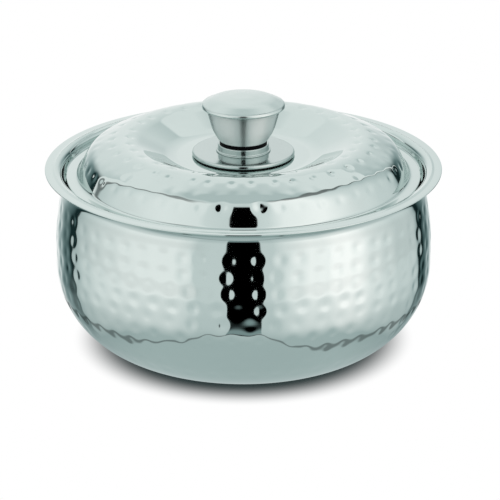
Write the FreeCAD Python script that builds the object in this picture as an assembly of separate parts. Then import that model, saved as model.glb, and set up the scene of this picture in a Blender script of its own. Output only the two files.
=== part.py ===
import FreeCAD, Part
import math
import os
from FreeCAD import Vector

# Insulated serving casserole with a lift-off lid. Millimetres, foot on z = 0, turned about +Z.

os.makedirs("parts", exist_ok=True)

# Overall form
flangeRadius = 120.0
flangeHeight = 112.0
flangeWidth = 10.5     # flat rim, from its edge in to the recess
flangeOverhang = 5.5   # rim edge beyond the belly
bowlSheet = 0.6
shellSheet = 0.6
lidSheet = 0.6

# Clearances
foamGap = 0.3          # insulation to any sheet
stemGap = 0.4          # plug stem to its hole
threadGap = 0.3        # screw shank to its bore
coreGap = 0.3          # knob insert to the pieces threaded over it

# Body shell
footInset = 41.4       # foot corner in from the belly
footBlend = 20.0
lowerCornerHeight = 14.5
lowerBlend = 54.0
shoulderDrop = 39.0    # below the rim
shoulderBlend = 70.0
neckDrop = 13.0        # below the rim
neckBlend = 30.0
flareBlend = 8.0
footWidth = 23.6       # flat ring that stands on the table
baseStepLean = 1.7
baseRecessHeight = 2.6
baseStepBlend = 1.2
shellBottomHole = 18.0

# Bowl
recessBlend = 4.5
ledgeDepth = 6.7
ledgeWidth = 10.1
ledgeBlend = 0.9
mouthBlend = 1.8
bowlTaper = 1.8        # wall drawn in from mouth to floor
bowlFloorHeight = 12.0
bowlFloorBlend = 32.0

# Base cover
baseDiscGap = 1.3      # disc edge to the step around it
baseDiscThickness = 0.8
plugStemRadius = 3.8
plugHeadRadius = 7.0
basePlugHead = 1.0

# Seal
sealThickness = 1.0
sealMouthGap = 0.5
sealRecessGap = 1.1

# Lid
lidGap = 2.4           # lip edge to the recess wall
lipWidth = 6.5
wallBaseBlend = 2.5
wallLean = 7.4
lidShoulderRise = 14.8
lidShoulderBlend = 15.0
crownOffset = 2.6      # crown outward of midway between shoulder and dish
crownRise = 24.1
crownBlend = 22.0
dishMargin = 12.65     # dish floor corner outside the knob's disc
dishRise = 11.1
dishBlend = 20.0
screwHoleGap = 0.5
panEdgeInset = 0.3
panMouthGap = 1.3
panTaper = 0.3
panDepth = 8.8
panFloorBlend = 5.0
panRimBlend = 0.8
wellGap = 1.0          # lid insulation to the load washer
lidPlugHead = 1.2
lidPlugStem = 2.4

# Knob
discRadius = 31.35
discLean = 0.8
discThickness = 2.3
gasketInset = 1.75
gasketThickness = 0.6
discHole = 6.0
neckFootRadius = 16.5
neckFootThickness = 0.8
neckFootStep = 1.0
neckTubeHeight = 4.6
seamInset = 1.2
seamRingHeight = 2.1
coneSheet = 0.8
coneBottomRadius = 14.7
coneMidRadius = 18.7
coneMidRise = 6.6
coneTopRadius = 22.6
coneHeight = 20.8
coneBlend = 26.0
coneSeatTrim = 0.3     # cone cut square under the cap
capSheet = 0.8
capOverhang = 2.6      # beaded edge beyond the top of the cone
capSeatLap = 1.0
capHeight = 7.0
capBeadHeight = 2.1
capShoulderInset = 8.06
capShoulderDrop = 1.15
capCrownRadius = 6.3
coreRadius = 9.0
coreLift = 0.4         # the insert stops short of the base disc, so the screw clamps the stack
coreCollarGap = 0.9    # collar to the cone around it
coreCollarHeight = 2.4
coreHeight = 21.5
coreRoof = 2.8         # left above the threaded bore
screwRadius = 2.5
screwHeadRadius = 4.6
screwHeadHeight = 3.0
screwTipGap = 2.0
driveWidth = 1.1
driveLength = 5.4
driveDepth = 1.6
loadWasherRadius = 12.0
loadWasherThickness = 1.2
springWasherRadius = 4.9
springWasherThickness = 1.2
springWasherSlot = 1.0

# Radii that follow from the rim and the knob's disc
bellyRadius = flangeRadius - flangeOverhang
recessRadius = flangeRadius - flangeWidth
neckRadius = recessRadius + bowlSheet + shellSheet
mouthRadius = recessRadius - ledgeWidth
bowlFloorRadius = mouthRadius - bowlTaper
footCornerRadius = bellyRadius - footInset
footInnerRadius = footCornerRadius - footWidth
baseRecessRadius = footInnerRadius - baseStepLean
lipRadius = recessRadius - lidGap
wallBaseRadius = lipRadius - lipWidth
lidShoulderRadius = wallBaseRadius - wallLean
dishRadius = discRadius + dishMargin
crownRadius = (lidShoulderRadius + dishRadius) / 2 + crownOffset
panWallRadius = mouthRadius - panMouthGap
neckTubeRadius = neckFootRadius - neckFootStep


def unit(a, b):
    length = math.hypot(b[0] - a[0], b[1] - a[1])
    return (b[0] - a[0]) / length, (b[1] - a[1]) / length


def turn(d0, d1):
    return math.atan2(d0[0] * d1[1] - d0[1] * d1[0], d0[0] * d1[0] + d0[1] * d1[1])


# A path is a list of (radius, height, blend). Offsets go to the left of travel.
def offsetPath(path, distance):
    dirs = [unit(path[i], path[i + 1]) for i in range(len(path) - 1)]
    result = []
    for i, (r, z, blend) in enumerate(path):
        before = dirs[max(i - 1, 0)]
        after = dirs[min(i, len(dirs) - 1)]
        n0 = (-before[1], before[0])
        n1 = (-after[1], after[0])
        scale = distance / (1 + n0[0] * n1[0] + n0[1] * n1[1])
        newBlend = blend
        if blend > 0:
            newBlend = blend - math.copysign(distance, turn(before, after))
        result.append((r + (n0[0] + n1[0]) * scale, z + (n0[1] + n1[1]) * scale, max(newBlend, 0)))
    return result


def point(r, z):
    return Vector(r, 0, z)


# How far the arc at corner i runs back along its neighbours, for a blend of 1.
def reachOf(path, i):
    here, before, after = path[i], path[i - 1], path[(i + 1) % len(path)]
    return math.tan(abs(turn(unit(before, here), unit(here, after))) / 2)


# Blends that would run past a neighbour's blend are limited by the wall between them.
def fitted(path):
    path = list(path)
    for i in range(len(path) - 1):
        wall = math.hypot(path[i + 1][0] - path[i][0], path[i + 1][1] - path[i][1])
        taken = 0.0
        for j in (i, i + 1):
            if 0 < j < len(path) - 1:
                taken += path[j][2] * reachOf(path, j)
        if taken > wall:
            for j in (i, i + 1):
                path[j] = (path[j][0], path[j][1], path[j][2] * wall / taken * 0.999)
    return path


# Straight runs joined by tangent arcs; a closed path also blends its first corner.
def pathEdges(path, closed=False):
    edges = []
    count = len(path)
    corners = []
    for i, (r, z, blend) in enumerate(path):
        if blend <= 0 or (not closed and i in (0, count - 1)):
            corners.append((point(r, z), None, point(r, z)))
            continue
        back = unit((r, z), path[i - 1])
        ahead = unit((r, z), path[(i + 1) % count])
        swing = abs(turn((-back[0], -back[1]), ahead))
        reach = blend * math.tan(swing / 2)
        bis = unit((0, 0), (back[0] + ahead[0], back[1] + ahead[1]))
        dip = blend / math.cos(swing / 2) - blend
        corners.append((point(r + back[0] * reach, z + back[1] * reach),
                        point(r + bis[0] * dip, z + bis[1] * dip),
                        point(r + ahead[0] * reach, z + ahead[1] * reach)))
    for i, (start, middle, end) in enumerate(corners):
        if middle is not None:
            edges.append(Part.Arc(start, middle, end).toShape())
        if i + 1 < count or closed:
            following = corners[(i + 1) % count][0]
            if end.distanceToPoint(following) > 1e-6:
                edges.append(Part.makeLine(end, following))
    return edges


def spun(edges):
    face = Part.Face(Part.Wire(Part.__sortEdges__(edges)))
    solid = face.revolve(Vector(0, 0, 0), Vector(0, 0, 1), 360)
    if solid.Volume < 0:
        solid.reverse()
    return solid


def turned(path):
    return spun(pathEdges(path, closed=True))


# Sheet metal along a path; the first end is rolled round when softStart is set.
def sheet(path, thickness, softStart=False):
    other = offsetPath(path, thickness)
    edges = pathEdges(path) + pathEdges(other)
    first, last = point(*path[0][:2]), point(*path[-1][:2])
    firstOther, lastOther = point(*other[0][:2]), point(*other[-1][:2])
    if softStart:
        along = unit(path[1], path[0])
        middle = (first + firstOther) * 0.5 + point(along[0], along[1]) * (thickness / 2)
        edges.append(Part.Arc(first, middle, firstOther).toShape())
    else:
        edges.append(Part.makeLine(first, firstOther))
    edges.append(Part.makeLine(last, lastOther))
    return spun(edges)


def ring(inner, outer, bottom, top, blend=0.0):
    return turned([(inner, bottom, 0), (outer, bottom, blend), (outer, top, blend), (inner, top, 0)])


def stemPlug(headBottom, headTop, stemBottom, stemTop, headBlend):
    head = turned([(0, headBottom, 0), (plugHeadRadius, headBottom, headBlend),
                   (plugHeadRadius, headTop, 0), (0, headTop, 0)])
    stem = turned([(0, stemBottom, 0), (plugStemRadius, stemBottom, 0),
                   (plugStemRadius, stemTop, 0.3), (0, stemTop, 0)])
    return head.fuse(stem).removeSplitter()


def save(name, shape):
    if not shape.isValid() or len(shape.Solids) != 1:
        raise RuntimeError(name + " is not one valid solid")
    shape.Solids[0].exportStep("parts/" + name + ".step")
    box = shape.optimalBoundingBox()
    print("%-22s %8.1f cm3  r %6.2f  z %7.2f .. %7.2f"
          % (name, shape.Volume / 1000, box.XMax, box.ZMin, box.ZMax))


# Bowl: wide rolled flange, recess with a ledge for the lid, tapered wall, round floor corner
ledgeHeight = flangeHeight - ledgeDepth
bowlPath = fitted([
    (flangeRadius - bowlSheet / 2, flangeHeight, 0),
    (recessRadius, flangeHeight, recessBlend),
    (recessRadius, ledgeHeight, ledgeBlend),
    (mouthRadius, ledgeHeight, mouthBlend),
    (bowlFloorRadius, bowlFloorHeight, bowlFloorBlend),
    (0, bowlFloorHeight, 0),
])
save("inner_bowl", sheet(bowlPath, bowlSheet, softStart=True))

# Outer shell: travels from the hole in the base outward and up to the rim under the flange
shellRimHeight = flangeHeight - bowlSheet - shellSheet
shoulderHeight = flangeHeight - shoulderDrop
neckHeight = flangeHeight - neckDrop
shellPath = fitted([
    (shellBottomHole, baseRecessHeight, 0),
    (baseRecessRadius, baseRecessHeight, baseStepBlend),
    (footInnerRadius, 0, baseStepBlend),
    (footCornerRadius, 0, footBlend),
    (bellyRadius, lowerCornerHeight, lowerBlend),
    (bellyRadius, shoulderHeight, shoulderBlend),
    (neckRadius, neckHeight, neckBlend),
    (neckRadius, shellRimHeight, flareBlend),
    (flangeRadius - bowlSheet / 2, shellRimHeight, 0),
])
save("outer_shell", sheet(shellPath, shellSheet))

# Foam between the two, kept off both sheets
foamOuter = offsetPath(shellPath, shellSheet + foamGap)
foamInner = offsetPath(bowlPath, bowlSheet + foamGap)
foamTop = foamInner[3][1]
foamBottom = foamOuter[0][1]
foamWall = turned([(0, foamOuter[3][1], 0)] + foamOuter[3:7] + [(foamOuter[6][0], foamTop, 0)]
                  + foamInner[3:5] + [(0, foamInner[5][1], 0)])
baseCut = Part.makeCylinder(bellyRadius, foamBottom + 5, Vector(0, 0, -5))
save("body_insulation", foamWall.cut(baseCut))

# Cover disc over the hole in the base, with the plug of its filling hole
coverBottom = baseRecessHeight - baseDiscThickness
plugHole = plugStemRadius + stemGap
save("base_disc", ring(plugHole, baseRecessRadius - baseDiscGap, coverBottom, baseRecessHeight, 0.25))
save("base_fill_plug", stemPlug(coverBottom - basePlugHead, coverBottom, coverBottom,
                                baseRecessHeight + shellSheet, 0.4))

# Seal ring on the ledge
sealTop = ledgeHeight + sealThickness
save("lid_seal", ring(mouthRadius + sealMouthGap, recessRadius - sealRecessGap, ledgeHeight, sealTop, 0.3))

# Lid: inner pan, then the outer shell whose lip lies on the pan's flange
panTop = sealTop + lidSheet
lipTop = panTop + lidSheet
panFloor = sealTop - panDepth
panPath = fitted([
    (plugHole, panFloor, 0),
    (panWallRadius - panTaper, panFloor, panFloorBlend),
    (panWallRadius, sealTop, panRimBlend),
    (lipRadius - panEdgeInset, sealTop, 0),
])
save("lid_inner_pan", sheet(panPath, lidSheet))

dishTop = lipTop + dishRise
lidPath = fitted([
    (lipRadius - lidSheet / 2, lipTop, 0),
    (wallBaseRadius, lipTop, wallBaseBlend),
    (lidShoulderRadius, lipTop + lidShoulderRise, lidShoulderBlend),
    (crownRadius, lipTop + crownRise, crownBlend),
    (dishRadius, dishTop, dishBlend),
    (screwRadius + screwHoleGap, dishTop, 0),
])
save("lid_outer_shell", sheet(lidPath, lidSheet, softStart=True))

# Foam in the lid, leaving a well round the knob fastening
lidFoamTop = offsetPath(lidPath, lidSheet + foamGap)
lidFoamPan = offsetPath(panPath, lidSheet + foamGap)
wall = unit(lidFoamTop[1], lidFoamTop[2])
lidFoamInnerRadius = loadWasherRadius + wellGap
foamStep = panTop + foamGap
wallRun = (foamStep - lidFoamTop[1][1]) / wall[1]
lidFoamPath = [
    (lidFoamInnerRadius, lidFoamPan[0][1], 0),
    lidFoamPan[1],
    (lidFoamPan[2][0], foamStep, 0),
    (lidFoamTop[1][0] + wall[0] * wallRun, foamStep, 0),
] + lidFoamTop[2:5] + [(lidFoamInnerRadius, lidFoamTop[5][1], 0)]
save("lid_insulation", turned(lidFoamPath))
save("lid_fill_plug", stemPlug(panFloor - lidPlugHead, panFloor, panFloor,
                               panFloor + lidPlugStem, 0.5))

# Knob base: thin gasket and a heavy disc with a soft edge
gasketTop = dishTop + gasketThickness
discTop = gasketTop + discThickness
save("knob_backing_gasket", ring(discHole, discRadius - gasketInset, dishTop, gasketTop))
save("knob_base_disc", turned([
    (discHole, gasketTop, 0),
    (discRadius, gasketTop, 0.8),
    (discRadius - discLean, discTop, 1.0),
    (discHole, discTop, 0),
]))

# Knob waist: a short tube with a foot, then the dark seam ring
boreRadius = coreRadius + coreGap
neckTop = discTop + neckTubeHeight
seamTop = neckTop + seamRingHeight
save("knob_neck", turned([
    (boreRadius, discTop, 0),
    (neckFootRadius, discTop, 0.3),
    (neckFootRadius, discTop + neckFootThickness, 0.3),
    (neckTubeRadius, discTop + neckFootThickness, 0.5),
    (neckTubeRadius, neckTop, 0.5),
    (boreRadius, neckTop, 0),
]))
save("knob_seam_ring", ring(boreRadius, neckTubeRadius - seamInset, neckTop, seamTop, 0.2))

# Knob grip: a flared cone closed by a domed cap with a beaded edge
coneTop = seamTop + coneHeight
conePath = fitted([
    (boreRadius, seamTop, 0),
    (coneBottomRadius, seamTop, 0.9),
    (coneMidRadius, seamTop + coneMidRise, coneBlend),
    (coneTopRadius, coneTop, 0),
])
coneTurned = sheet(conePath, coneSheet)
capRadius = coneTopRadius + capOverhang
coneTrim = Part.makeCylinder(capRadius * 2, coneHeight, Vector(0, 0, coneTop - coneSeatTrim))
save("knob_cone", coneTurned.cut(coneTrim))

capBottom = coneTop - coneSeatTrim
capTop = capBottom + capHeight
capPath = fitted([
    (coneTopRadius - capSeatLap, capBottom, 0),
    (capRadius, capBottom, 0.85),
    (capRadius, capBottom + capBeadHeight, 1.8),
    (capRadius - capShoulderInset, capTop - capShoulderDrop, 18.0),
    (capCrownRadius, capTop, 40.0),
    (0, capTop, 0),
])
save("knob_cap", sheet(capPath, capSheet))

# Threaded insert: its collar holds the cone down, its spigot enters the base disc
coneFloor = seamTop + coneSheet
collarTop = coneFloor + coreCollarHeight
collarRadius = coneBottomRadius - coneSheet - coreCollarGap
coreTop = discTop + coreHeight
boreTop = coreTop - coreRoof
coreBody = turned([
    (0, discTop + coreLift, 0),
    (coreRadius, discTop + coreLift, 0),
    (coreRadius, coneFloor, 0),
    (collarRadius, coneFloor, 0.4),
    (collarRadius, collarTop, 0.4),
    (coreRadius, collarTop, 0.4),
    (coreRadius, coreTop, 0.8),
    (0, coreTop, 0),
])
spigot = Part.makeCylinder(discHole - coreGap, discTop + coreLift - gasketTop, Vector(0, 0, gasketTop))
coreBore = Part.makeCylinder(screwRadius + threadGap, boreTop - gasketTop, Vector(0, 0, gasketTop))
save("knob_core", coreBody.fuse(spigot).removeSplitter().cut(coreBore))

# Fastening under the lid: load washer, spring washer and a cross-recessed screw
sheetBottom = dishTop - lidSheet
washerBottom = sheetBottom - loadWasherThickness
springBottom = washerBottom - springWasherThickness
headBottom = springBottom - screwHeadHeight
washerHole = screwRadius + threadGap
save("knob_load_washer", ring(washerHole, loadWasherRadius, washerBottom, sheetBottom, 0.3))
slot = Part.makeBox(springWasherRadius * 2, springWasherSlot, springWasherThickness * 3,
                    Vector(0, -springWasherSlot / 2, springBottom - springWasherThickness))
save("knob_spring_washer", ring(washerHole, springWasherRadius, springBottom, washerBottom).cut(slot))
head = turned([(0, headBottom, 0), (screwHeadRadius, headBottom, 1.2),
               (screwHeadRadius, springBottom, 0), (0, springBottom, 0)])
shank = turned([(0, springBottom, 0), (screwRadius, springBottom, 0),
                (screwRadius, boreTop - screwTipGap, 0.6), (0, boreTop - screwTipGap, 0)])
screw = head.fuse(shank).removeSplitter()
for angle in (0, 90):
    drive = Part.makeBox(driveLength, driveWidth, driveDepth,
                         Vector(-driveLength / 2, -driveWidth / 2, headBottom))
    drive.rotate(Vector(0, 0, 0), Vector(0, 0, 1), angle)
    screw = screw.cut(drive)
save("knob_screw", screw)
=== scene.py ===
import math
import random

import bmesh
import bpy
import numpy as np
from mathutils import Matrix, Vector


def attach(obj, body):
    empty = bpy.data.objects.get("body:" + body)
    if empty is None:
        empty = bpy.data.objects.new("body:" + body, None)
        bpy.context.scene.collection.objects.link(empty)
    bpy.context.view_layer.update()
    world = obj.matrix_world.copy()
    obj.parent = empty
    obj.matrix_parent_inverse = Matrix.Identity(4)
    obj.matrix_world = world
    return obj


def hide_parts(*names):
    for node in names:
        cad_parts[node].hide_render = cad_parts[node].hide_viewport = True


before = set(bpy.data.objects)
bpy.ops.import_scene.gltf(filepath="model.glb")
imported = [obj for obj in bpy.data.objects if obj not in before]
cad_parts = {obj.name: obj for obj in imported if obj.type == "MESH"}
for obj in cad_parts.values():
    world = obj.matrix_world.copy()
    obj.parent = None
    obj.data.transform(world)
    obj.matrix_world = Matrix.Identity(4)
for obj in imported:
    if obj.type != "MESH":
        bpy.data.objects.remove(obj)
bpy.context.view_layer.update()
mm = 0.001
print("frame loaded:", len(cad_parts), "nodes")

cameraView = {
    "pitch": 19.29,                 # degrees above the horizon
    "distance": 1500.0,             # to the middle of the flange
    "flange": (0.0, 0.0, 112.0),
    "target": (4.0, 0.0, 56.4),     # what the middle of the frame looks at
    "lens": 178.2,
}


def makeCamera():
    pitch = math.radians(cameraView["pitch"])
    flange = Vector(cameraView["flange"])
    place = flange + Vector((0, -math.cos(pitch), math.sin(pitch))) * cameraView["distance"]
    data = bpy.data.cameras.new("camera")
    data.lens = cameraView["lens"]
    data.sensor_width = 36.0
    data.clip_start = 0.05
    data.clip_end = 60.0
    camera = bpy.data.objects.new("camera", data)
    bpy.context.scene.collection.objects.link(camera)
    camera.location = place * mm
    camera.rotation_euler = (Vector(cameraView["target"]) - place).to_track_quat("-Z", "Y").to_euler()
    bpy.context.scene.camera = camera


makeCamera()
bpy.context.scene.view_settings.view_transform = "Standard"
print("camera placed")


# Lathe tools. A profile is a list of corners (radius, height, blend) in millimetres.

latheSteps = {
    "plain": 3.0,                   # longest step along the first, unhammered runs of a sheet
    "end": 5.0,                     # across a sheet's cut edge
    "roll": 0.12,                   # round a sheet's rolled edge
    "turned": 0.35,                 # along the small solid parts
    "grip": 0.5,
    "sectors": 16,                  # this many copies make the full turn, a power of two
    "sharp": 35,                    # degrees past which an edge is left sharp
}


def offsetCorners(corners, thickness):
    # the same profile moved to its left-hand side, for the far face of a sheet
    points = [Vector((r, z)) for r, z, blend in corners]
    ways = [(b - a).normalized() for a, b in zip(points, points[1:])]
    moved = []
    for i, (r, z, blend) in enumerate(corners):
        before, after = ways[max(i - 1, 0)], ways[min(i, len(ways) - 1)]
        left = Vector((-before.y - after.y, before.x + after.x)) / (1 + before.dot(after))
        turn = before.x * after.y - before.y * after.x
        radius = blend - math.copysign(thickness, turn) if blend else 0.0
        spot = points[i] + left * thickness
        moved.append((spot.x, spot.y, max(radius, 0.0)))
    return moved


def cutAt(corners, height):
    # the last run of a profile, trimmed where it reaches this height
    (r, z, blend), (farR, farZ, farBlend) = corners[-2], corners[-1]
    return corners[:-1] + [(r + (farR - r) * (height - z) / (farZ - z), height, 0)]


def drawRun(bm, corners, step, plain=0):
    # one stroke of a profile in the XZ plane: straight runs joined by true arcs
    points = [Vector((r, 0, z)) for r, z, blend in corners]
    pen = bm.verts.new(points[0] * mm)
    for i in range(1, len(points)):
        corner, blend, arc = points[i], corners[i][2], None
        stride = latheSteps["plain"] if i <= plain else step
        goal = corner
        if blend and i + 1 < len(points):
            back = (points[i - 1] - corner).normalized()
            ahead = (points[i + 1] - corner).normalized()
            swing = math.pi - back.angle(ahead)
            if swing > 1e-3:
                goal = corner + back * blend * math.tan(swing / 2)
                centre = corner + (back + ahead).normalized() * blend / math.cos(swing / 2)
                arc = (centre, swing, back.cross(ahead).y)
        start = pen.co / mm
        length = (goal - start).length
        if length > 1e-4:
            pieces = max(1, round(length / stride))
            for k in range(1, pieces + 1):
                pen = bmesh.ops.extrude_vert_indiv(bm, verts=[pen])["verts"][0]
                pen.co = start.lerp(goal, k / pieces) * mm
        if arc:
            centre, swing, side = arc
            swept = bmesh.ops.spin(bm, geom=[pen], cent=centre * mm, axis=(0, 1, 0),
                                   angle=math.copysign(swing, -side),
                                   steps=max(3, round(blend * swing / stride)), use_duplicate=False)
            pen = [part for part in swept["geom_last"] if isinstance(part, bmesh.types.BMVert)][0]


def drawSheet(bm, corners, thickness, fine, coarse, rolled=False, plain=0):
    # a pressed sheet: the seen face finely, the far face coarsely, the free edge rolled or plain
    seen, far = list(corners), offsetCorners(corners, thickness)
    near, under = seen[0], far[0]
    if rolled:
        edge, half = near[0] + thickness / 2, thickness / 2
        drawRun(bm, [near, (edge, near[1], half), (edge, under[1], half * 0.999), under], latheSteps["roll"])
    else:
        drawRun(bm, [near, under], latheSteps["end"])
    drawRun(bm, seen, fine, plain)
    drawRun(bm, far, coarse)
    if seen[-1][0] > 0:
        drawRun(bm, [seen[-1], far[-1]], latheSteps["end"])


def spinProfile(bm, columns):
    # one sector is spun, and copies of it double up to the full turn
    bmesh.ops.remove_doubles(bm, verts=bm.verts[:], dist=1e-7)
    sectors = latheSteps["sectors"]
    bmesh.ops.spin(bm, geom=bm.verts[:] + bm.edges[:], cent=(0, 0, 0), axis=(0, 0, 1),
                   angle=math.tau / sectors, steps=columns // sectors, use_merge=False, use_duplicate=False)
    for doubling in range(sectors.bit_length() - 1):
        copy = bmesh.ops.duplicate(bm, geom=bm.verts[:] + bm.edges[:] + bm.faces[:])
        bmesh.ops.rotate(bm, verts=[part for part in copy["geom"] if isinstance(part, bmesh.types.BMVert)],
                         cent=(0, 0, 0), matrix=Matrix.Rotation(math.tau / sectors * 2 ** doubling, 3, "Z"))
    bmesh.ops.remove_doubles(bm, verts=bm.verts[:], dist=1e-6)
    bmesh.ops.recalc_face_normals(bm, faces=bm.faces[:])
    if bm.calc_volume(signed=True) < 0:
        bmesh.ops.reverse_faces(bm, faces=bm.faces[:])


def finishPiece(bm, name, node, body, material):
    mesh = bpy.data.meshes.new(name)
    bm.to_mesh(mesh)
    bm.free()
    mesh.shade_smooth()
    mesh.set_sharp_from_angle(angle=math.radians(latheSteps["sharp"]))
    mesh.materials.append(material)
    piece = bpy.data.objects.new(name, mesh)
    bpy.context.scene.collection.objects.link(piece)
    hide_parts(node)
    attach(piece, body)
    return piece


def strikeRow(row, marks, dice):
    # a row's blows as angle, drift and force: the front ones placed one by one, the rest spread evenly
    near = row["near"]
    gap = near[0] + 360 - near[-1]
    spread = max(round(gap / row["pitch"]), 1)
    angles = near + [near[-1] + gap * (k + dice.gauss(0, marks["stray"])) / spread for k in range(1, spread)]
    blows = np.array([((angle + 180) % 360 - 180, dice.gauss(0, marks["drift"]),
                       1 + dice.gauss(0, marks["force"])) for angle in angles])
    return blows[blows[:, 0].argsort()]


def hammer(piece, rows, marks):
    # every blow leaves a shallow round dish, with a small deeper pit at its middle
    mesh = piece.data
    place = np.empty(len(mesh.vertices) * 3)
    facing = np.empty(len(mesh.vertices) * 3)
    mesh.vertices.foreach_get("co", place)
    mesh.vertex_normals.foreach_get("vector", facing)
    place, facing = place.reshape(-1, 3), facing.reshape(-1, 3)
    radius = np.hypot(place[:, 0], place[:, 1]) / mm
    height = place[:, 2] / mm
    outward = (facing[:, 0] * place[:, 0] + facing[:, 1] * place[:, 1]) / mm / np.maximum(radius, 1)
    turn = np.degrees(np.arctan2(place[:, 0], -place[:, 1]))
    dice = random.Random(marks["seed"])
    nearest, pits = np.zeros(len(place)), np.zeros(len(place))
    for row in rows:
        blows = strikeRow(row, marks, dice)
        down = row["z"] - height if marks["walk"] == "z" else radius - row["r"]
        across = np.hypot(radius - row["r"], row["z"] - height) * np.sign(down)
        seat = np.searchsorted(blows[:, 0], turn)
        # the nearest blows of the row, two on either side
        for step in (-2, -1, 0, 1)[:len(blows)]:
            blow = blows[(seat + step) % len(blows)]
            around = np.radians((turn - blow[:, 0] + 180) % 360 - 180) * radius
            along = across - blow[:, 1]
            nearest += np.exp(-((around * marks["squeeze"]) ** 2 + along ** 2) / marks["round"])
            wide = row.get("wide", 1.0)
            pits += row.get("deep", 1.0) * blow[:, 2] * np.exp(
                -(around / marks["pitWide"] / wide) ** 2 - (along / marks["pitTall"] / wide) ** 2)
    hollow = np.maximum(-np.log(nearest + 1e-12) * marks["round"], 0)
    reach = marks["cellReach"]
    dish = hollow / (1 + (hollow / reach) ** 4) ** 0.25 - reach
    dent = marks["cellCurve"] * dish - marks["pitDeep"] * pits
    # struck from outside only, fading out past the first and the last row
    seen = outward > 0.05 if marks["walk"] == "z" else facing[:, 2] > 0.1
    line = height if marks["walk"] == "z" else radius
    low, lowFull, highFull, high = marks["between"]
    fade = np.clip((line - low) / (lowFull - low), 0, 1) * np.clip((high - line) / (high - highFull), 0, 1)
    place += facing * (dent * fade * seen * mm)[:, None]
    mesh.vertices.foreach_set("co", place.ravel())
    mesh.update()


class Wire:
    # one shader socket, so that shader sums read as ordinary sums
    def __init__(self, paint, socket):
        self.paint, self.socket = paint, socket

    def work(self, operation, first, second):
        return self.paint.add("ShaderNodeMath", {"operation": operation}, {0: first, 1: second})

    def __add__(self, other): return self.work("ADD", self, other)
    def __radd__(self, other): return self.work("ADD", other, self)
    def __sub__(self, other): return self.work("SUBTRACT", self, other)
    def __rsub__(self, other): return self.work("SUBTRACT", other, self)
    def __mul__(self, other): return self.work("MULTIPLY", self, other)
    def __rmul__(self, other): return self.work("MULTIPLY", other, self)
    def __truediv__(self, other): return self.work("DIVIDE", self, other)
    def __rtruediv__(self, other): return self.work("DIVIDE", other, self)
    def __pow__(self, other): return self.work("POWER", self, other)


class Paint:
    # a node tree being filled in
    def __init__(self, tree):
        self.tree = tree
        self.tree.nodes.clear()

    def add(self, kind, settings=None, sockets=None, output=0):
        node = self.tree.nodes.new(kind)
        for name, value in (settings or {}).items():
            if name == "stops":
                self.setStops(node.color_ramp, value)
            else:
                setattr(node, name, value)
        for name, value in (sockets or {}).items():
            if isinstance(value, Wire):
                self.tree.links.new(value.socket, node.inputs[name])
            else:
                node.inputs[name].default_value = value
        return Wire(self, node.outputs[output]) if node.outputs else node

    def setStops(self, ramp, stops):
        for i, (position, colour) in enumerate(stops):
            element = ramp.elements[i] if i < len(ramp.elements) else ramp.elements.new(position)
            element.position, element.color = position, colour

    def place(self):
        # the painted point, then its X, Y, Z and radius in millimetres
        spot = self.add("ShaderNodeTexCoord", output="Object")
        x, y, z = [self.add("ShaderNodeSeparateXYZ", {}, {0: spot}, axis) * 1000 for axis in (0, 1, 2)]
        return spot, x, y, z, (x * x + y * y) ** 0.5

    def smooth(self, value, low, high):
        return self.add("ShaderNodeMapRange", {"interpolation_type": "SMOOTHSTEP"},
                        {0: value, 1: low, 2: high})

    def noise(self, spot, scale, detail=3.0, rough=0.5, stretch=None):
        if stretch:
            spot = self.add("ShaderNodeMapping", {}, {"Vector": spot, "Scale": stretch})
        return self.add("ShaderNodeTexNoise", {}, {"Vector": spot, "Scale": scale, "Detail": detail,
                                                   "Roughness": rough})

    def mix(self, amount, first, second):
        return self.add("ShaderNodeMix", {"data_type": "RGBA"}, {0: amount, 6: first, 7: second}, 2)

    def steel(self, tone, rough, bump, drawn=0.0):
        # drawn stretches the shine along the piece, as turning rings do
        shader = self.add("ShaderNodeBsdfPrincipled", {}, {
            "Base Color": tone, "Metallic": 1.0, "Roughness": rough, "Normal": bump,
            "Anisotropic": drawn, "Anisotropic Rotation": 0.25 if drawn else 0.0})
        self.add("ShaderNodeOutputMaterial", {}, {"Surface": shader})


def newFinish(name):
    material = bpy.data.materials.new(name)
    material.use_nodes = True
    return material, Paint(material.node_tree)


# the green-blue cast of these steel colours is the studio light's tint, painted into the metal
steelColours = {
    "bright": (0.60, 0.69, 0.67, 1),
    "shade": (0.55, 0.635, 0.617, 1),
    # a darker copy of the same steel, painted shade: it darkens the knob's disc and waist, and the base disc
    # that shares it
    "deep": (0.49, 0.575, 0.56, 1),
}


def polishedSteel(name, rough, wander, metal="bright"):
    # bright stainless sheet: faint buffing haze and a breath of waviness
    material, paint = newFinish(name)
    spot, x, y, z, r = paint.place()
    haze = paint.noise(spot, 34.0, 4.0, 0.6)
    wipes = paint.noise(spot, 240.0, 2.0, 0.5, (1, 1, 0.2))
    ripple = paint.noise(spot, 60.0, 2.0, 0.4)
    bump = paint.add("ShaderNodeBump", {}, {"Strength": 0.25, "Distance": 0.02 * mm, "Height": ripple})
    tone = paint.mix(paint.smooth(haze, 0.35, 0.65) * 0.25, steelColours[metal], steelColours["shade"])
    paint.steel(tone, haze * wander + wipes * (wander * 0.5) + rough, bump)
    return material


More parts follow.
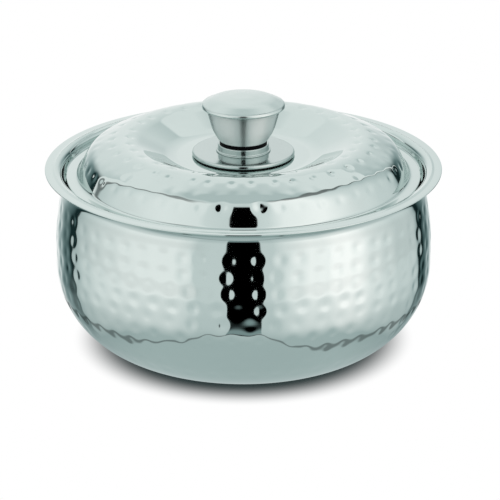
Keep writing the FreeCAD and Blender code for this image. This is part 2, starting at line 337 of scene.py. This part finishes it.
def turnedSteel(name, rough, ringsPerMm, depth, drawn=0.0, stepped=0.0):
    # lathe-brushed stainless: fine rings round the axis, whose faces a stepped finish turns up by that slope
    material, paint = newFinish(name)
    spot, x, y, z, r = paint.place()
    rings = paint.add("ShaderNodeCombineXYZ", {}, {0: r * ringsPerMm, 1: z * ringsPerMm, 2: 0.0})
    grain = paint.noise(rings, 1.0, 3.0, 0.65)
    smear = paint.noise(spot, 55.0, 3.0, 0.6)
    bump = paint.add("ShaderNodeBump", {}, {"Strength": 0.35, "Distance": depth * mm, "Height": grain})
    if stepped:
        bump = paint.add("ShaderNodeBump", {}, {"Strength": 1.0, "Distance": mm, "Height": z * -stepped,
                                                "Normal": bump})
    tone = paint.mix(grain * 0.5, steelColours["bright"], steelColours["shade"])
    paint.steel(tone, grain * 0.08 + smear * 0.05 + (rough - 0.065), bump, drawn)
    return material


def bowlSteel(name):
    # the flange and its roll are polished, the bowl below is turned satin
    material, paint = newFinish(name)
    spot, x, y, z, r = paint.place()
    inside = paint.smooth(z, 104.9, 104.2)
    rings = paint.add("ShaderNodeCombineXYZ", {}, {0: r * 5, 1: z * 5, 2: 0.0})
    grain = paint.noise(rings, 1.0, 3.0, 0.65)
    haze = paint.noise(spot, 34.0, 4.0, 0.6)
    bump = paint.add("ShaderNodeBump", {}, {"Strength": 0.3, "Distance": 0.02 * mm, "Height": grain * inside})
    tone = paint.mix(grain * inside * 0.5, steelColours["bright"], steelColours["shade"])
    paint.steel(tone, (grain * 0.09 + 0.17) * inside + (haze * 0.02 + 0.03) * (1 - inside), bump)
    return material


def moulded(name, colour, worn, rough, grainScale, depth, shine=0.5):
    # rubber and plastic: slightly mottled, with a fine moulded grain
    material, paint = newFinish(name)
    spot, x, y, z, r = paint.place()
    mottle = paint.noise(spot, 90.0, 3.0, 0.6)
    grain = paint.noise(spot, grainScale, 2.0, 0.5)
    bump = paint.add("ShaderNodeBump", {}, {"Strength": 0.3, "Distance": depth * mm, "Height": grain})
    shader = paint.add("ShaderNodeBsdfPrincipled", {}, {
        "Base Color": paint.mix(mottle, colour, worn), "Roughness": mottle * 0.12 + (rough - 0.06),
        "Specular IOR Level": shine, "Normal": bump})
    paint.add("ShaderNodeOutputMaterial", {}, {"Surface": shader})
    return material


def pouredFoam(name):
    # small closed cells, with a darker skin in places
    material, paint = newFinish(name)
    spot, x, y, z, r = paint.place()
    cells = paint.add("ShaderNodeTexVoronoi", {}, {"Vector": spot, "Scale": 700.0})
    skin = paint.noise(spot, 30.0, 4.0, 0.6)
    bump = paint.add("ShaderNodeBump", {}, {"Strength": 0.6, "Distance": 0.3 * mm, "Height": cells})
    shader = paint.add("ShaderNodeBsdfPrincipled", {}, {
        "Base Color": paint.mix(skin, (0.80, 0.70, 0.42, 1), (0.62, 0.50, 0.26, 1)),
        "Roughness": cells * 0.1 + 0.75, "Normal": bump})
    paint.add("ShaderNodeOutputMaterial", {}, {"Surface": shader})
    return material


# Depths are in millimetres.
hammeredFinish = polishedSteel("hammered steel", rough=0.03, wander=0.02)
# the steel painted darker as shade, for the knob's disc and waist and the base disc
paintedShadeDiscSteel = polishedSteel("polished steel painted darker", rough=0.11, wander=0.04, metal="deep")
satinFinish = turnedSteel("satin steel", rough=0.22, ringsPerMm=6.0, depth=0.02)
gripFinish = turnedSteel("satin grip", rough=0.41, ringsPerMm=6.0, depth=0.02, drawn=0.95, stepped=0.66)
panFinish = turnedSteel("satin lid pan", rough=0.22, ringsPerMm=4.0, depth=0.02)
plainFinish = turnedSteel("plain steel", rough=0.32, ringsPerMm=3.0, depth=0.03)
bowlFinish = bowlSteel("bowl steel")
sealFinish = moulded("black silicone", colour=(0.008, 0.008, 0.009, 1), worn=(0.013, 0.013, 0.014, 1),
                     rough=0.5, grainScale=900.0, depth=0.03, shine=0.25)
plugFinish = moulded("white plug", colour=(0.80, 0.80, 0.77, 1), worn=(0.74, 0.74, 0.70, 1),
                     rough=0.38, grainScale=700.0, depth=0.02)
# near-pure black with almost no shine, for the ring sunk between the knob's waist and cone
nearBlackRingFinish = moulded("near-black ring", colour=(0.0015, 0.0015, 0.002, 1), worn=(0.003, 0.003, 0.0035, 1),
                       rough=0.5, grainScale=700.0, depth=0.02, shine=0.05)
foamFinish = pouredFoam("poured foam")
print("finishes ready")

bodyShell = {
    "corners": [(18, 2.6, 0), (47.8, 2.6, 1.2), (49.5, 0, 1.2), (73.1, 0, 20), (114.5, 14.5, 54),
                (114.5, 73, 70), (110.7, 99, 30), (110.7, 110.8, 8), (118.6, 110.8, 0)],
    "thickness": 0.6,
    "columns": 576,
    "fine": 1.22,
    "coarse": 12.0,
    "plain": 3,                     # runs of the foot, which no blow reaches
    # each row of blows: its place, its pitch in degrees, and the angles of the blows on the front
    "rows": [
        {"r": 111.6, "z": 92.9, "pitch": 6.5, "near": [-18.3, -12.4, -3.7, 3.9, 11.0, 16.9, 23.4]},
        {"r": 113.1, "z": 83.0, "pitch": 6.4, "near": [-18.0, -12.0, -5.0, 3.4, 9.2, 15.9, 22.7]},
        {"r": 114.3, "z": 73.1, "pitch": 6.4, "near": [-21.8, -16.2, -10.3, -4.3, 4.2, 9.8, 15.4, 22.0]},
        {"r": 114.5, "z": 63.3, "pitch": 6.4, "near": [-21.0, -14.4, -7.6, -1.5, 4.6, 10.9, 17.1, 24.0]},
        {"r": 114.5, "z": 53.8, "pitch": 6.5, "near": [-22.2, -15.1, -6.1, 1.9, 8.7, 15.4, 23.0]},
        {"r": 113.6, "z": 44.2, "pitch": 6.5, "near": [-27.1, -18.6, -10.2, -3.6, 4.4, 14.2, 20.5]},
        {"r": 111.3, "z": 34.8, "pitch": 6.6, "near": [-16.4, -9.2, -2.6, 5.4, 11.2, 18.5]},
        {"r": 107.1, "z": 25.9, "pitch": 6.8, "near": [-6.4, 0.8, 7.6]},
        {"r": 100.6, "z": 17.5, "pitch": 7.2, "near": [-3.6, 3.4]},
    ],
    "marks": {
        "seed": 5,
        "walk": "z",                # the rows follow each other by height, or by radius on the lid
        "between": (9.0, 14.0, 95.0, 99.0),     # begin, are full, are still full, end
        "stray": 0.06,              # scatter of a blow round its row, as a share of the pitch
        "drift": 0.4,               # scatter across the row
        "force": 0.2,               # scatter of the pit's depth, as a share
        "squeeze": 0.95,            # below 1, the dishes reach further round than up
        "round": 5.0,               # how softly the dishes meet
        "cellReach": 22.0,          # square of the radius at which a dish levels off
        "cellCurve": 0.0075,        # how fast it rises from its middle
        "pitWide": 2.0,
        "pitTall": 2.6,
        "pitDeep": 0.13,
    },
}


def makeBodyShell():
    bm = bmesh.new()
    drawSheet(bm, bodyShell["corners"], bodyShell["thickness"], bodyShell["fine"], bodyShell["coarse"],
              plain=bodyShell["plain"])
    spinProfile(bm, bodyShell["columns"])
    piece = finishPiece(bm, "hammered_body_shell", "outer_shell", "casserole",
                        hammeredFinish)
    hammer(piece, bodyShell["rows"], bodyShell["marks"])
    print("body shell:", len(piece.data.polygons), "faces")


makeBodyShell()

bowlSheet = {
    "corners": [(119.66, 112.0, 0), (115.4, 112.0, 1.2), (114.0, 112.5, 1.2), (109.5, 112.5, 4.5),
                (109.5, 105.3, 2.8), (99.4, 105.3, 1.8), (97.6, 12, 32), (0, 12, 0)],
    "thickness": 0.6,
    "columns": 384,
    "fine": 2.0,
    "coarse": 8.0,
}


def makeBowl():
    bm = bmesh.new()
    drawSheet(bm, bowlSheet["corners"], bowlSheet["thickness"], bowlSheet["fine"], bowlSheet["coarse"],
              rolled=True)
    spinProfile(bm, bowlSheet["columns"])
    piece = finishPiece(bm, "bowl_and_flange", "inner_bowl", "casserole", bowlFinish)
    print("bowl and flange:", len(piece.data.polygons), "faces")


makeBowl()

lidShell = {
    "corners": [(106.8, 107.5, 0), (100.6, 107.5, 2.5), (93.2, 122.3, 15), (71.2, 131.6, 22),
                (44, 118.6, 20), (3, 118.6, 0)],
    "thickness": 0.6,
    "columns": 624,
    "fine": 1.0,
    "coarse": 10.0,
    # as on the body, and deep and wide scale a row's pits
    "rows": [
        {"r": 95.5, "z": 117.7, "pitch": 7.4, "near": [-15.3, 12.9], "deep": 1.2},
        {"r": 95.0, "z": 118.6, "pitch": 360, "near": [-7.4, 5.6], "deep": 2.2, "wide": 1.4},
        {"r": 88.6, "z": 124.2, "pitch": 7.6, "near": [-3.7, 3.8], "deep": 0.6, "wide": 1.2},
        {"r": 79.2, "z": 128.2, "pitch": 10.0, "near": [-21.0, -14.6, -4.8, 3.1, 13.0, 20.6], "deep": 3.0,
         "wide": 0.9},
        {"r": 68.8, "z": 129.3, "pitch": 11.0, "near": [-3.6, 3.9], "deep": 2.6, "wide": 0.9},
    ],
    "marks": {
        "seed": 9,
        "walk": "r",
        "between": (60.0, 65.0, 97.0, 101.0),
        "stray": 0.06,
        "drift": 0.4,
        "force": 0.1,
        "squeeze": 0.9,
        "round": 5.0,
        "cellReach": 18.0,
        "cellCurve": 0.0034,
        "pitWide": 2.2,
        "pitTall": 2.0,
        "pitDeep": 0.22,
    },
}


def makeLidShell():
    bm = bmesh.new()
    drawSheet(bm, lidShell["corners"], lidShell["thickness"], lidShell["fine"], lidShell["coarse"],
              rolled=True)
    spinProfile(bm, lidShell["columns"])
    piece = finishPiece(bm, "hammered_lid_shell", "lid_outer_shell", "lid", hammeredFinish)
    hammer(piece, lidShell["rows"], lidShell["marks"])
    print("lid shell:", len(piece.data.polygons), "faces")


makeLidShell()

lidPan = {
    "corners": [(4.2, 97.5, 0), (97.8, 97.5, 5), (98.1, 106.3, 0.8), (106.8, 106.3, 0)],
    "thickness": 0.6,
    "columns": 384,
    "fine": 2.0,
    "coarse": 8.0,
}


def makeLidPan():
    bm = bmesh.new()
    drawSheet(bm, lidPan["corners"], lidPan["thickness"], lidPan["fine"], lidPan["coarse"])
    spinProfile(bm, lidPan["columns"])
    piece = finishPiece(bm, "lid_pan", "lid_inner_pan", "lid", panFinish)
    print("lid pan:", len(piece.data.polygons), "faces")


makeLidPan()

# Plain turned parts: each profile runs round the part's section and closes on its first corner.
turnedParts = [
    {"name": "seal_ring", "node": "lid_seal", "body": "seal", "slot": "seal_black", "finish": sealFinish,
     "columns": 384,
     "corners": [(99.9, 105.3, 0), (106.5, 105.3, 0.3), (106.5, 106.3, 0.3), (99.9, 106.3, 0)]},
    {"name": "base_cover_disc", "node": "base_disc", "body": "casserole", "slot": "polished_steel",
     "finish": paintedShadeDiscSteel, "columns": 256,
     "corners": [(4.2, 1.8, 0), (46.5, 1.8, 0.25), (46.5, 2.6, 0.25), (4.2, 2.6, 0)]},
    {"name": "knob_gasket", "node": "knob_backing_gasket", "body": "lid", "slot": "seal_black",
     "finish": sealFinish, "columns": 256,
     "corners": [(6, 118.6, 0), (29.6, 118.6, 0), (29.6, 119.2, 0), (6, 119.2, 0)]},
    {"name": "knob_disc", "node": "knob_base_disc", "body": "lid", "slot": "polished_steel",
     "finish": paintedShadeDiscSteel, "columns": 320,
     "corners": [(6, 119.2, 0), (31.35, 119.2, 0.8), (30.55, 121.5, 1.0), (6, 121.5, 0)]},
    {"name": "knob_waist", "node": "knob_neck", "body": "lid", "slot": "polished_steel",
     "finish": paintedShadeDiscSteel, "columns": 256,
     "corners": [(9.3, 121.5, 0), (16.5, 121.5, 0.3), (16.5, 122.3, 0.3), (15.5, 122.3, 0.5),
                 (15.5, 126.1, 0.5), (9.3, 126.1, 0)]},
    {"name": "knob_dark_ring", "node": "knob_seam_ring", "body": "lid", "slot": "insert_plastic",
     "finish": nearBlackRingFinish, "columns": 256,
     "corners": [(9.3, 126.1, 0), (14.3, 126.1, 0.2), (14.3, 128.2, 0.2), (9.3, 128.2, 0)]},
]


def makeTurned(part):
    bm = bmesh.new()
    drawRun(bm, part["corners"] + part["corners"][:1], latheSteps["turned"])
    spinProfile(bm, part["columns"])
    finishPiece(bm, part["name"], part["node"], part["body"], part["finish"])
    print(part["name"], "made")


for turnedPart in turnedParts:
    makeTurned(turnedPart)

knobCone = {
    "corners": [(9.3, 128.2, 0), (14.7, 128.2, 0.9), (18.7, 134.8, 26), (22.6, 149.0, 0)],
    "thickness": 0.8,
    "columns": 256,
    "top": 148.7,
}


def makeKnobCone():
    bm = bmesh.new()
    seen = cutAt(knobCone["corners"], knobCone["top"])
    far = cutAt(offsetCorners(knobCone["corners"], knobCone["thickness"]), knobCone["top"])
    for run in (seen, far, [seen[0], far[0]], [seen[-1], far[-1]]):
        drawRun(bm, run, latheSteps["grip"])
    spinProfile(bm, knobCone["columns"])
    finishPiece(bm, "knob_grip", "knob_cone", "lid", gripFinish)
    print("knob grip made")


makeKnobCone()

knobCap = {
    "corners": [(21.6, 148.7, 0), (25.2, 148.7, 0.85), (25.2, 150.8, 1.8), (17.14, 154.55, 18),
                (6.3, 155.7, 40), (0, 155.7, 0)],
    "thickness": 0.8,
    "columns": 256,
    "fine": 0.4,
    "coarse": 2.0,
}


def makeKnobCap():
    bm = bmesh.new()
    drawSheet(bm, knobCap["corners"], knobCap["thickness"], knobCap["fine"], knobCap["coarse"])
    spinProfile(bm, knobCap["columns"])
    finishPiece(bm, "knob_top_cap", "knob_cap", "lid", satinFinish)
    print("knob cap made")


makeKnobCap()

# Parts that keep their own solid get a real finish.
nodeFinishes = {
    "body_insulation": foamFinish, "lid_insulation": foamFinish,
    "base_fill_plug": plugFinish, "lid_fill_plug": plugFinish,
    "knob_core": plainFinish, "knob_screw": plainFinish,
    "knob_load_washer": plainFinish, "knob_spring_washer": plainFinish,
}
for nodeName, nodeFinish in nodeFinishes.items():
    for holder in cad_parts[nodeName].material_slots:
        holder.material = nodeFinish
print("solids painted")

# Studio: how bright the surroundings are by direction. Angles are degrees round from the front.
studio = {
    "left": [(0, 0.85), (28, 0.85), (33, 1.04), (41, 1.15), (55, 1.16), (75, 1.12), (83, 1.06), (91, 1.02),
             (99, 0.97), (107, 0.88), (114, 0.8), (119, 0.71), (122.6, 0.64), (123.8, 0.03), (128.5, 0.03),
             (131.5, 0.12), (136, 0.2), (141, 0.28), (146, 0.42), (150, 0.58), (156, 0.75), (165, 1.0),
             (180, 1.02)],
    "right": [(0, 0.85), (18, 0.85), (25, 1.05), (33, 1.18), (41, 1.3), (50, 1.28), (58, 1.4), (66, 1.42),
              (75, 1.3), (83, 1.12), (91, 1.03), (99, 0.97), (107, 0.88), (118, 0.87), (126, 0.8),
              (130.3, 0.65), (132.6, 0.46), (133.8, 0.02), (138.2, 0.02), (141, 0.1), (148, 0.21), (153, 0.4),
              (158, 0.5), (165, 0.75), (172, 0.93), (180, 1.02)],
    "leftUpper": [(0, 0.85), (28, 0.95), (33, 1.05), (60, 1.1), (90, 1.0), (110, 0.85), (125, 0.8),
                  (150, 0.95), (180, 1.03)],
    "rightUpper": [(0, 0.85), (18, 0.95), (30, 1.2), (60, 1.3), (90, 1.0), (110, 0.9), (125, 0.75),
                   (140, 0.62), (150, 0.72), (160, 0.88), (180, 1.0)],
    # degrees up between which the lower walls, with their dark openings, give way to the upper
    "upperStart": (8.0, 24.0),
    # a faint darker band along the walls beside the front: where it comes and goes, and how deep it is
    "bandStart": (1.0, 9.0),
    "bandEnd": (13.0, 24.0),
    "bandTurn": (80.0, 100.0),
    "bandDepth": 0.13,
    "overhead": [(30, 1.02), (57, 1.02), (64, 0.87), (70, 0.71), (90, 0.72)],
    # half width, soft edge and top of the dark card behind the camera
    "darkCard": 10.2,
    "cardEdge": 0.4,
    "cardTop": (47.0, 54.0),
    # the top of the big side panels by direction round, with a thin dark frame along it
    "leftTop": [(0, 60), (45, 57), (75, 60), (90, 59.5), (97, 57.9), (102.4, 51.2), (107.6, 42.6),
                (110.6, 30.4), (114.3, 19.7), (120.8, 6.7), (124, 0), (126, 40), (180, 40)],
    "rightTop": [(0, 62), (30, 69), (47, 71), (74, 69.5), (95, 66.3), (124, 61), (132, 56), (136, 47),
                 (138, 30), (140, 0), (142, 40), (180, 40)],
    "leftFrame": [(0, 0), (38, 0), (62, 0.6), (95, 0.65), (115, 0.75), (120, 0.7), (123, 0)],
    "rightFrame": [(0, 0), (20, 0), (60, 0.65), (110, 0.75), (138, 0.8), (140, 0)],
    "frameWidth": 6.0,
    "frameWider": 3.0,              # added where the panels' top falls steeply
    "steepTurn": (97.0, 108.0),
    "frameDark": 0.93,
    "lampPower": 6.0,
    "lampWidth": 2.4,
    "lampHeight": 1.8,
}
black = (0, 0, 0, 1)
white = (1, 1, 1, 1)


def tinted(level):
    # the daylight tint: red falls off a little faster than green and blue
    return (level ** 1.25, level, level ** 0.99, 1)


def plainly(level):
    return (level, level, level, 1)


def byAngle(degrees):
    # an angle as a share of 90 degrees
    return plainly(degrees / 90)


def surroundings(paint, rightHand, turnOf, storey="", colour=tinted):
    # wall brightness, or another setting of the walls, for a direction whose azimuth is turnOf degrees
    sides = []
    for side in ("left", "right"):
        stops = [(angle / 180, colour(level)) for angle, level in studio[side + storey]]
        sides.append(paint.add("ShaderNodeValToRGB", {"stops": stops}, {0: turnOf / 180}))
    return paint.mix(rightHand, sides[0], sides[1])


def azimuth(paint, x, y):
    turn = paint.add("ShaderNodeMath", {"operation": "ARCTAN2"}, {0: x, 1: y * -1})
    return paint.add("ShaderNodeMath", {"operation": "ABSOLUTE"}, {0: turn * math.degrees(1)})


def makeWorld():
    world = bpy.data.worlds.new("studio")
    bpy.context.scene.world = world
    world.use_nodes = True
    paint = Paint(world.node_tree)
    way = paint.add("ShaderNodeTexCoord", output="Generated")
    x, y, z = [paint.add("ShaderNodeSeparateXYZ", {}, {0: way}, axis) for axis in (0, 1, 2)]
    turn = azimuth(paint, x, y)
    rightHand = paint.add("ShaderNodeMath", {"operation": "GREATER_THAN"}, {0: x, 1: 0.0})
    rise = paint.add("ShaderNodeMath", {"operation": "ARCSINE"}, {0: z}) * math.degrees(1)
    # the walls, with their faint band
    wall = paint.mix(paint.smooth(rise, *studio["upperStart"]), surroundings(paint, rightHand, turn),
                     surroundings(paint, rightHand, turn, "Upper"))
    band = paint.smooth(rise, *studio["bandStart"]) * (1 - paint.smooth(rise, *studio["bandEnd"]))
    band = band * (1 - paint.smooth(turn, *studio["bandTurn"]))
    wall = paint.mix(band * studio["bandDepth"], wall, black)
    # overhead, from the side panels' top upwards
    stops = [(angle / 90, tinted(level)) for angle, level in studio["overhead"]]
    sky = paint.add("ShaderNodeValToRGB", {"stops": stops}, {0: rise / 90})
    above = rise - surroundings(paint, rightHand, turn, "Top", byAngle) * 90
    both = paint.mix(paint.smooth(above, -1.0, 1.0), wall, sky)
    # the thin dark frame along that top
    off = paint.add("ShaderNodeMath", {"operation": "ABSOLUTE"}, {0: above})
    width = paint.smooth(turn, *studio["steepTurn"]) * studio["frameWider"] + studio["frameWidth"]
    share = surroundings(paint, rightHand, turn, "Frame", plainly)
    line = (1 - paint.smooth(off / width, 0.45, 1.0)) * share * studio["frameDark"]
    both = paint.mix(line, both, black)
    # the dark card behind the camera
    edge, soft = studio["darkCard"], studio["cardEdge"]
    card = (1 - paint.smooth(turn, edge - soft, edge + soft)) * (1 - paint.smooth(rise, *studio["cardTop"]))
    lit = paint.mix(card, both, black)
    seenDirectly = paint.add("ShaderNodeLightPath", output="Is Camera Ray")
    shown = paint.mix(seenDirectly, lit, white)
    glow = paint.add("ShaderNodeBackground", {}, {"Color": shown, "Strength": 1.0})
    paint.add("ShaderNodeOutputWorld", {}, {"Surface": glow})


makeWorld()

# Floor: white, with a painted contact shadow, and a painted reflection for the steel. Radii in millimetres,
# angles in degrees round from the front.
studioFloor = {
    "halfWidth": 20,                # metres
    "paper": (0.88, 0.88, 0.88, 1),
    # the painted contact shadow: its dark colour, the radii it clears between, and how it eases out
    "shade": (0.12, 0.15, 0.155, 1),
    "shadow": (75.0, 106.5),        # the contact shadow round the foot clears between these
    "shadowCurve": 1.3,
    "belly": 114,                   # radius of the wall that mirrors the floor
    "leanLimit": 0.95,
    "aside": (35.0, 85.0),          # from the front floor to the floor beside
    "behind": (98.0, 116.0),        # from the floor beside to the floor behind
    # the floor near the pot as the steel sees it, painted darker for the pot's shade on it: in front, beside
    # and behind
    "frontLevel": 0.6,
    "asideLevel": 0.42,
    "behindLevel": 0.1,
    # in the painted reflection, how far the floor seen in the steel has gone over to the wall it rises into,
    # by radius
    "sweep": [(160, 0.0), (174, 0.2), (187, 0.33), (204, 0.47), (227, 0.56), (254, 0.65), (300, 0.95),
              (320, 1.0)],
    "asideSooner": 70,              # the floor beside and behind goes over at a smaller radius
    "behindSooner": 120,
    "soonerTurn": (98.0, 124.0),
    # painted into the floor's reflection: a faint darker ring, and grey then black in front of the dark card
    "dipStart": (295.0, 400.0),     # a faint darker ring
    "dipEnd": (430.0, 800.0),
    "dipTurn": (15.0, 30.0),
    "dipDepth": 0.09,
    "greyStart": (184.0, 194.0),    # in front of the dark card the floor turns grey, then black
    "greyLevel": 0.36,
    "blackStart": (212.0, 248.0),
    # the shadow's rim is painted into the floor's reflection as a thin dark line, bowed towards the front
    "line": 190,
    "lineBow": 60,
    "lineSpan": (48, 30),           # over how many degrees it bows, left and right
    "lineWidth": (1.0, 5.0),
    "lineDark": (0.55, 0.9),        # beside the dark card and in front of it
}


def openFloor(paint, r):
    # seen directly: white, with a tight contact shadow round the foot, painted in by radius from the axis
    glow = paint.add("ShaderNodeEmission", {}, {"Color": white, "Strength": 1.0})
    shade = paint.add("ShaderNodeBsdfDiffuse", {}, {"Color": studioFloor["shade"]})
    lit = paint.smooth(r, *studioFloor["shadow"]) ** studioFloor["shadowCurve"]
    return paint.add("ShaderNodeMixShader", {}, {0: lit, 1: shade, 2: glow})


def paintedReflectionFloor(paint, r, turn, rightHand):
    # seen in the steel: the floor glows with a painted reflection, in which it rises into the walls, taken in
    # the direction the look leaves the pot's wall
    leave = turn
    for again in range(2):
        lean = paint.add("ShaderNodeMath", {"operation": "SINE"}, {0: leave * math.radians(0.5)})
        lean = paint.add("ShaderNodeMath", {"operation": "MINIMUM"},
                         {0: lean * studioFloor["belly"] / r, 1: studioFloor["leanLimit"]})
        bend = paint.add("ShaderNodeMath", {"operation": "ARCSINE"}, {0: lean})
        leave = bend * math.degrees(1) + turn
    # how far it has gone over to the wall, and the floor, painted darker near the pot for its shade, and the
    # wall themselves
    aside = paint.smooth(turn, *studioFloor["aside"])
    sooner = aside * studioFloor["asideSooner"]
    sooner = sooner + paint.smooth(turn, *studioFloor["soonerTurn"]) * studioFloor["behindSooner"]
    start, span = 100, 300          # the sweep's ramp runs over these radii
    stops = [((radius - start) / span, plainly(share)) for radius, share in studioFloor["sweep"]]
    share = paint.add("ShaderNodeValToRGB", {"stops": stops}, {0: (r + sooner - start) / span})
    near = paint.mix(aside, tinted(studioFloor["frontLevel"]), tinted(studioFloor["asideLevel"]))
    near = paint.mix(paint.smooth(turn, *studioFloor["behind"]), near, tinted(studioFloor["behindLevel"]))
    level = paint.mix(share, near, surroundings(paint, rightHand, leave))
    # the faint darker ring, painted into the reflection
    dip = paint.smooth(r, *studioFloor["dipStart"]) * (1 - paint.smooth(r, *studioFloor["dipEnd"]))
    dip = dip * paint.smooth(turn, *studioFloor["dipTurn"])
    level = paint.mix(dip * studioFloor["dipDepth"], level, black)
    # painted grey, then black, in front of the dark card
    edge, soft = studio["darkCard"], studio["cardEdge"]
    front = 1 - paint.smooth(leave, edge - soft, edge + soft)
    grey = front * paint.smooth(r, *studioFloor["greyStart"])
    level = paint.mix(grey, level, tinted(studioFloor["greyLevel"]))
    level = paint.mix(front * paint.smooth(r, *studioFloor["blackStart"]), level, black)
    # the thin dark line of the shadow's rim, painted in
    left, right = studioFloor["lineSpan"]
    bow = paint.smooth(turn / (left - rightHand * (left - right)), 0.0, 1.0)
    line = studioFloor["line"] - bow * studioFloor["lineBow"]
    off = paint.add("ShaderNodeMath", {"operation": "ABSOLUTE"}, {0: r - line})
    beside, before = studioFloor["lineDark"]
    dark = (1 - paint.smooth(off, *studioFloor["lineWidth"])) * (front * (before - beside) + beside)
    return paint.add("ShaderNodeEmission", {}, {"Color": paint.mix(dark, level, black), "Strength": 1.0})


def makeFloor():
    bm = bmesh.new()
    bmesh.ops.create_grid(bm, x_segments=1, y_segments=1, size=studioFloor["halfWidth"])
    mesh = bpy.data.meshes.new("floor")
    bm.to_mesh(mesh)
    bm.free()
    floor = bpy.data.objects.new("floor", mesh)
    bpy.context.scene.collection.objects.link(floor)
    material, paint = newFinish("studio floor")
    mesh.materials.append(material)
    spot, x, y, z, r = paint.place()
    turn = azimuth(paint, x, y)
    rightHand = paint.add("ShaderNodeMath", {"operation": "GREATER_THAN"}, {0: x, 1: 0.0})
    cameraRay = paint.add("ShaderNodeLightPath", output="Is Camera Ray")
    glossyRay = paint.add("ShaderNodeLightPath", output="Is Glossy Ray")
    through = paint.add("ShaderNodeLightPath", output="Is Transmission Ray")
    paper = paint.add("ShaderNodeBsdfDiffuse", {}, {"Color": studioFloor["paper"]})
    seen = openFloor(paint, r)
    paintedReflection = paintedReflectionFloor(paint, r, turn, rightHand)
    direct = paint.add("ShaderNodeMixShader", {}, {0: cameraRay + through, 1: paper, 2: seen})
    # glossy rays see the floor glow with the painted reflection
    surface = paint.add("ShaderNodeMixShader", {}, {0: glossyRay, 1: direct, 2: paintedReflection})
    paint.add("ShaderNodeOutputMaterial", {}, {"Surface": surface})


makeFloor()


def makeLamp():
    # a soft overhead panel that lifts the open floor, and isn't mirrored in the steel
    data = bpy.data.lights.new("overhead", "AREA")
    data.shape = "DISK"
    data.size = studio["lampWidth"]
    data.energy = studio["lampPower"]
    lamp = bpy.data.objects.new("overhead", data)
    bpy.context.scene.collection.objects.link(lamp)
    lamp.location = (0, 0, studio["lampHeight"])
    lamp.visible_glossy = False
    lamp.visible_camera = False


makeLamp()
print("studio lit")
